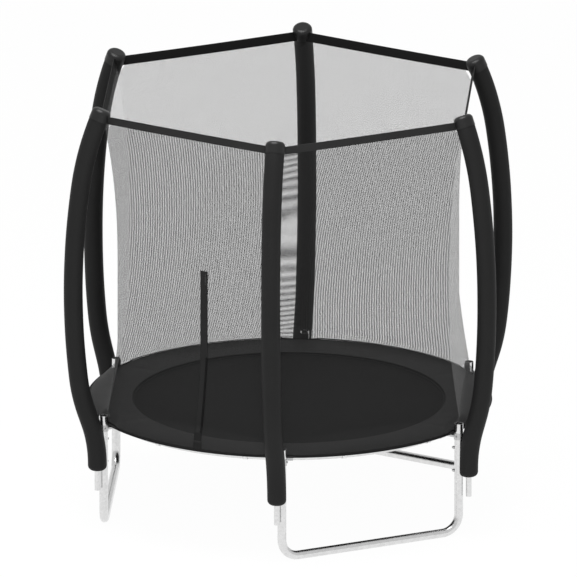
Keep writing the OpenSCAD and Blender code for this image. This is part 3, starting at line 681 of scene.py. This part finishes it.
def padCover():
    bm = bmesh.new()
    thick = pad["topZ"] - pad["footZ"]
    edge = thick / 2
    turns = [math.pi * i / pad["edgeRows"] for i in range(1, pad["edgeRows"])]
    profile = []
    for i in range(pad["rows"] + 1):  # top face from the inner edge to the outer one
        share = i / pad["rows"]
        radius = pad["innerR"] + edge + (pad["outerR"] - pad["innerR"] - 2 * edge) * share
        profile.append((radius, pad["topZ"]))
    for a in turns:
        profile.append((pad["outerR"] - edge + edge * math.sin(a), pad["topZ"] - edge + edge * math.cos(a)))
    profile += [(radius, pad["footZ"]) for radius, z in reversed(profile[:pad["rows"] + 1])]
    for a in turns:
        radius = pad["innerR"] + edge - edge * math.sin(a)
        profile.append((radius, pad["footZ"] + edge - edge * math.cos(a)))
    verts = [bm.verts.new((radius, 0, z)) for radius, z in profile]
    edges = [bm.edges.new((verts[i], verts[(i + 1) % len(verts)])) for i in range(len(verts))]
    bmesh.ops.spin(bm, geom=verts + edges, cent=(0, 0, 0), axis=(0, 0, 1), angle=2 * math.pi,
                   steps=pad["steps"], use_merge=True)
    outward(bm)
    for vert in bm.verts:
        radius = math.hypot(vert.co.x, vert.co.y)
        angle = math.atan2(vert.co.y, vert.co.x)
        share = (radius - pad["innerR"]) / (pad["outerR"] - pad["innerR"])
        seam = abs(math.sin((angle - poleAngle(0)) * pad["panels"] / 2))  # 0 on the radial seams
        puff = (1 - math.exp(-seam * pad["seamWidth"])) * math.sin(math.pi * min(1, max(0, share))) ** 0.5
        fold = noise.noise(vert.co * 9) * 0.5 + noise.noise(vert.co * 31) * 0.2
        if vert.co.z > (pad["topZ"] + pad["footZ"]) / 2:
            vert.co.z += pad["seamDip"] * (puff - 1) + fold * pad["crease"] * puff
    return bm


def cutNotches(piece):
    for k in range(6):
        bm = bmesh.new()
        spot = postPlace(k)
        bmesh.ops.create_cone(bm, cap_ends=True, segments=40, radius1=pad["notchR"], radius2=pad["notchR"],
                              depth=0.06, matrix=Matrix.Translation((spot.x, spot.y, pad["topZ"])))
        cutter = finishPiece(bm, "notchCutter", padCloth, None)
        modifier = piece.modifiers.new("notch", "BOOLEAN")
        modifier.object = cutter
        modifier.operation = "DIFFERENCE"
        modifier.solver = "EXACT"
        bpy.context.view_layer.update()
        applied = bpy.data.meshes.new_from_object(piece.evaluated_get(bpy.context.evaluated_depsgraph_get()))
        piece.modifiers.clear()
        piece.data = applied
        bpy.data.objects.remove(cutter)


def padPiping():
    bm = bmesh.new()
    for radius in (pad["outerR"] - pad["pipingIn"], pad["innerR"] + pad["pipingIn"]):
        spot = Matrix.Translation((radius, 0, pad["footZ"] + pad["pipingRise"]))
        spot = spot @ Matrix.Rotation(math.pi / 2, 4, "X")
        ring = ringAt(bm, pad["piping"], 8, spot)
        bmesh.ops.spin(bm, geom=ring, cent=(0, 0, 0), axis=(0, 0, 1), angle=2 * math.pi, steps=pad["steps"],
                       use_merge=True)
    outward(bm)
    layUv(bm, lambda vert: (vert.co.z, math.atan2(vert.co.y, vert.co.x) * pad["outerR"]))
    return bm


cover = finishPiece(padCover(), "padCover", padCloth, "frame", "pad")
cutNotches(cover)
piping = finishPiece(padPiping(), "padPiping", pipingCloth, "frame", None)
cutNotches(piping)
print("pad made")


matLow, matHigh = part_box("mat")
mat = {
    "radius": matHigh.x, "z": (matLow.z + matHigh.z) / 2, "border": 0.034, "borderThickness": 0.0015,
    "springs": 36,
}


def matDisc():
    bm = bmesh.new()
    centre = bm.verts.new((0, 0, mat["z"]))
    outer = bm.verts.new((mat["radius"], 0, mat["z"]))
    edge = bm.edges.new((centre, outer))
    bmesh.ops.subdivide_edges(bm, edges=[edge], cuts=14)
    bmesh.ops.spin(bm, geom=bm.verts[:] + bm.edges[:], cent=(0, 0, 0), axis=(0, 0, 1), angle=2 * math.pi,
                   steps=144, use_merge=True)
    outward(bm)
    return bm


def flatRing(innerR, outerR, z):
    bm = bmesh.new()
    inner, outer = bm.verts.new((innerR, 0, z)), bm.verts.new((outerR, 0, z))
    edge = bm.edges.new((inner, outer))
    bmesh.ops.subdivide_edges(bm, edges=[edge], cuts=3)
    bmesh.ops.spin(bm, geom=bm.verts[:] + bm.edges[:], cent=(0, 0, 0), axis=(0, 0, 1), angle=2 * math.pi,
                   steps=180, use_merge=True)
    outward(bm)
    layUv(bm, lambda vert: (vert.co.length, math.atan2(vert.co.y, vert.co.x) * outerR))
    return bm


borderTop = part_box("mat_border")[1].z
jumpMat = finishPiece(matDisc(), "jumpMat", matCloth, "mat", "mat")
webbingRing = flatRing(mat["radius"] - mat["border"], mat["radius"], borderTop - mat["borderThickness"] / 2)
matBorder = finishPiece(webbingRing, "matBorder", borderCloth, "mat", "mat_border",
                        modifiers=[thicken(mat["borderThickness"])])

ringWire = {"diameter": 0.004, "width": 0.034, "reach": 0.030, "tip": 0.0035, "corner": 0.004,
            "sewnIn": 0.008}
ringLow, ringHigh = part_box("mat_rings")
ringZ = (ringLow.z + ringHigh.z) / 2
railLow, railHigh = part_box("rail_1")
railZ = (railLow.z + railHigh.z) / 2
spring = {
    "wire": 0.0026, "coil": 0.014, "turns": 26, "sides": 6, "stepsPerTurn": 10,
    "apex": 0.720, "start": 0.732, "stop": 0.7905, "hole": 0.8045, "hookR": 0.0041, "overlap": 0.001,
}


def springAngle(i):
    return poleAngle(0) + (i + 0.5) * 2 * math.pi / mat["springs"]


def ringShape():  # a triangular ring in the plane z = 0, its tip outwards
    bm = bmesh.new()
    half = ringWire["width"] / 2
    base = mat["radius"] - ringWire["sewnIn"]
    place = Matrix.Translation((base, 0, 0)) @ Matrix.Rotation(-math.pi / 2, 4, "X")
    ring = ringAt(bm, ringWire["diameter"], 8, place)
    slope = math.atan2(half, ringWire["reach"] - 0.002)
    corner, tip = ringWire["corner"], ringWire["tip"]
    cornerTurn = math.pi / 2 + slope
    cut = corner * math.tan(cornerTurn / 2)
    side = math.hypot(half, ringWire["reach"]) - cut - tip * 0.9
    links = [(0, 0, half - cut), (corner, cornerTurn, 0), (0, 0, side), (tip, math.pi - 2 * slope, 0),
             (0, 0, side), (corner, cornerTurn, 0), (0, 0, half - cut)]
    sweep(bm, ring, links, place, 0.004)
    outward(bm)
    return bm


def springShape():  # along +X, from the ring's tip to the rail's hole, in the plane z = 0
    bm = bmesh.new()
    size = spring
    half = size["coil"] / 2 - size["wire"] / 2
    turn = Matrix.Translation((size["start"], 0, half)) @ Matrix.Rotation(math.pi / 2, 4, "X")
    ring = ringAt(bm, size["wire"], size["sides"], turn)
    steps = size["turns"] * size["stepsPerTurn"]
    advance = (size["stop"] - size["start"]) / steps
    last = bmesh.ops.spin(bm, geom=ring, cent=(size["start"], 0, 0), axis=(1, 0, 0), dvec=(advance, 0, 0),
                          angle=2 * math.pi * size["turns"], steps=steps, use_merge=False)["geom_last"]
    bmesh.ops.contextual_create(bm, geom=[g for g in last if isinstance(g, bmesh.types.BMEdge)])
    leg = size["start"] - size["apex"]
    hook = Matrix.Translation((size["start"] + size["overlap"], 0, -size["hookR"]))
    hook = hook @ Matrix.Rotation(-math.pi / 2, 4, "Y")
    tail = ringAt(bm, size["wire"], size["sides"], hook)
    sweep(bm, tail, [(0, 0, leg), (size["hookR"], math.pi, 0)], hook, 0.003)
    pin = Matrix.Translation((size["stop"] - size["overlap"], 0, 0)) @ Matrix.Rotation(math.pi / 2, 4, "Y")
    tail = ringAt(bm, size["wire"], size["sides"], pin)
    sweep(bm, tail, [(0, 0, size["hole"] - size["stop"])], pin, 0.005)
    outward(bm)
    return bm


def copyAround(shape, z):
    meshes = []
    for i in range(mat["springs"]):
        turned = shape.copy()
        matrix = Matrix.Rotation(springAngle(i), 4, "Z") @ Matrix.Translation((0, 0, z))
        bmesh.ops.transform(turned, matrix=matrix, verts=turned.verts)
        meshes.append(turned)
    shape.free()
    return meshes


allRings = joined(copyAround(ringShape(), ringZ))
finishPiece(allRings, "matRings", springSteel, "mat", "mat_rings")
for i, shape in enumerate(copyAround(springShape(), (ringZ + railZ) / 2)):
    piece = finishPiece(shape, f"spring_{i + 1:02d}", springSteel, None, "springs")
    angle = springAngle(i)
    start = polar(spring["hole"], angle) + Vector((0, 0, railZ))
    end = polar(spring["apex"], angle) + Vector((0, 0, railZ))
    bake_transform(piece)
print("mat and springs made")


strap = {"count": 12, "width": 0.020, "inner": 0.0135, "thickness": 0.0012, "railR": 0.815, "shift": deg(5)}


def padStraps():
    bm = bmesh.new()
    for i in range(strap["count"]):
        angle = poleAngle(0) + (i + 0.5) * 2 * math.pi / strap["count"] + strap["shift"]
        middle = polar(strap["railR"], angle) + Vector((0, 0, railZ))
        place = Matrix.Translation(middle) @ Matrix.Rotation(angle, 4, "Z")
        place = place @ Matrix.Rotation(math.pi / 2, 4, "X")
        radius = strap["inner"] + strap["thickness"] / 2
        foot = place @ Matrix.Translation((0, 0, -strap["width"] / 2))
        ring = ringAt(bm, 2 * radius, 32, foot)
        for _ in range(4):
            ring = runOn(bm, ring, place.to_3x3() @ Vector((0, 0, strap["width"] / 4)))
    outward(bm)
    layUv(bm, lambda vert: (math.atan2(vert.co.y, vert.co.x) * strap["railR"], vert.co.z))
    return bm


tie = {"arc": deg(62), "height": 0.022, "thickness": 0.0016, "footZ": 0.4703, "gap": 0.0002, "postR": 0.019}


def netTies():
    bm = bmesh.new()
    layer = bm.loops.layers.uv.new("clothUv")
    radius = tie["postR"] + tie["gap"] + tie["thickness"] / 2
    for k in range(6):
        spot = postPlace(k)
        inward = math.atan2(spot.y, spot.x) + math.pi
        made = bmesh.ops.create_grid(bm, x_segments=28, y_segments=4, size=0.5)["verts"]
        for vert in made:
            turn = vert.co.x * 2 * tie["arc"]
            level = (vert.co.y + 0.5) * tie["height"]
            vert.co = spot + polar(radius, inward + turn) + Vector((0, 0, tie["footZ"] + level))
            for loop in vert.link_loops:
                loop[layer].uv = (level, turn * radius)
    bmesh.ops.recalc_face_normals(bm, faces=bm.faces)
    return bm


finishPiece(padStraps(), "padStraps", elasticCloth, "frame", "pad_straps",
            modifiers=[thicken(strap["thickness"])])
finishPiece(netTies(), "netTies", tieCloth, "frame", "net_ties",
            modifiers=[thicken(tie["thickness"])])
print("straps and ties made")


def paintNode(name, material):
    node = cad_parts[name]
    node.data.materials.clear()
    node.data.materials.append(material)


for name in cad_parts:
    if name.startswith(("leg_", "pole_lower", "pole_upper")) or name[:-1] == "rail_":
        paintNode(name, steel)
    elif name.startswith("rail_socket") or name in ("socket_bolts", "pole_bolts", "pole_nuts"):
        paintNode(name, hardware)
    elif name.startswith("cap_"):
        paintNode(name, capPlastic)
    elif name == "pole_spacers":
        paintNode(name, spacerPlastic)
    elif name in ("zip_slider", "zip_pull"):
        paintNode(name, zipMetal)
print("CAD nodes painted")


studio = {"floorHalf": 60, "floorTone": 0.90, "floorGlow": 0.97, "worldTone": 1.0, "worldLight": 0.70,
          "lampAimZ": 0.9, "skyPower": 220, "frontPower": 330}


def paleFloor():
    board = Board("paleFloor")
    tree = board.tree
    tree.nodes.remove(board.shader)
    path = board.put("ShaderNodeLightPath")
    camera = Wire(board, path.socket.node.outputs["Is Camera Ray"])
    glossy = Wire(board, path.socket.node.outputs["Is Glossy Ray"])
    clear = Wire(board, path.socket.node.outputs["Is Transmission Ray"])
    seen = camera.math("MAXIMUM", glossy).math("MAXIMUM", clear) * studio["floorGlow"]
    diffuse = board.put("ShaderNodeBsdfDiffuse", {}, {"Color": grey(studio["floorTone"])})
    glow = board.put("ShaderNodeEmission", {}, {"Color": grey(1.0), "Strength": 1.0})
    mixed = board.put("ShaderNodeMixShader", {}, [seen, diffuse, glow])
    board.feed(tree.nodes["Material Output"].inputs["Surface"], mixed)
    return board.material


def studioFloor():
    bm = bmesh.new()
    bmesh.ops.create_grid(bm, x_segments=1, y_segments=1, size=studio["floorHalf"])
    floor = finishPiece(bm, "studioFloor", paleFloor(), None)


def studioWorld():
    world = bpy.data.worlds.new("studioWorld")
    world.use_nodes = True
    tree = world.node_tree
    background = tree.nodes["Background"]
    background.inputs["Color"].default_value = grey(studio["worldTone"])
    path = tree.nodes.new("ShaderNodeLightPath")
    seen = tree.nodes.new("ShaderNodeMath")
    seen.operation = "MAXIMUM"
    tree.links.new(path.outputs["Is Camera Ray"], seen.inputs[0])
    tree.links.new(path.outputs["Is Transmission Ray"], seen.inputs[1])
    level = tree.nodes.new("ShaderNodeMapRange")
    level.inputs["To Min"].default_value = studio["worldLight"]
    level.inputs["To Max"].default_value = 1.0
    tree.links.new(seen.outputs[0], level.inputs["Value"])
    tree.links.new(level.outputs[0], background.inputs["Strength"])
    bpy.context.scene.world = world


def areaLamp(name, spot, size, power, mirrored=True):
    light = bpy.data.lights.new(name, "AREA")
    light.shape = "DISK"
    light.size = size
    light.energy = power
    lamp = bpy.data.objects.new(name, light)
    lamp.location = spot
    lamp.visible_glossy = mirrored
    aim = Vector((0, 0, studio["lampAimZ"])) - Vector(spot)
    lamp.rotation_euler = aim.to_track_quat("-Z", "Y").to_euler()
    bpy.context.scene.collection.objects.link(lamp)


cameraView = {"azimuth": deg(3.2), "elevation": deg(16.70), "targetZ": 0.9570, "targetX": -0.0022,
              "distance": 100.0, "frameWidth": 2.489, "sensor": 18.0}


def viewCamera():
    camera = bpy.data.cameras.new("viewCamera")
    camera.sensor_width = cameraView["sensor"]
    camera.lens = cameraView["sensor"] * cameraView["distance"] / cameraView["frameWidth"]
    camera.clip_end = 4 * cameraView["distance"]
    eye = bpy.data.objects.new("viewCamera", camera)
    target = Vector((cameraView["targetX"], 0, cameraView["targetZ"]))
    level = math.cos(cameraView["elevation"])
    towards = Vector((level * math.sin(cameraView["azimuth"]), -level * math.cos(cameraView["azimuth"]),
                      math.sin(cameraView["elevation"])))
    eye.location = target + towards * cameraView["distance"]
    eye.rotation_euler = (-towards).to_track_quat("-Z", "Y").to_euler()
    bpy.context.scene.collection.objects.link(eye)
    bpy.context.scene.camera = eye


studioFloor()
studioWorld()
areaLamp("skyLamp", (-0.6, -1.0, 5.5), 3.5, studio["skyPower"])
areaLamp("frontLamp", (0.4, -7.0, 2.2), 4.0, studio["frontPower"], False)
viewCamera()
bpy.context.scene.view_settings.view_transform = "Standard"
print("studio ready")
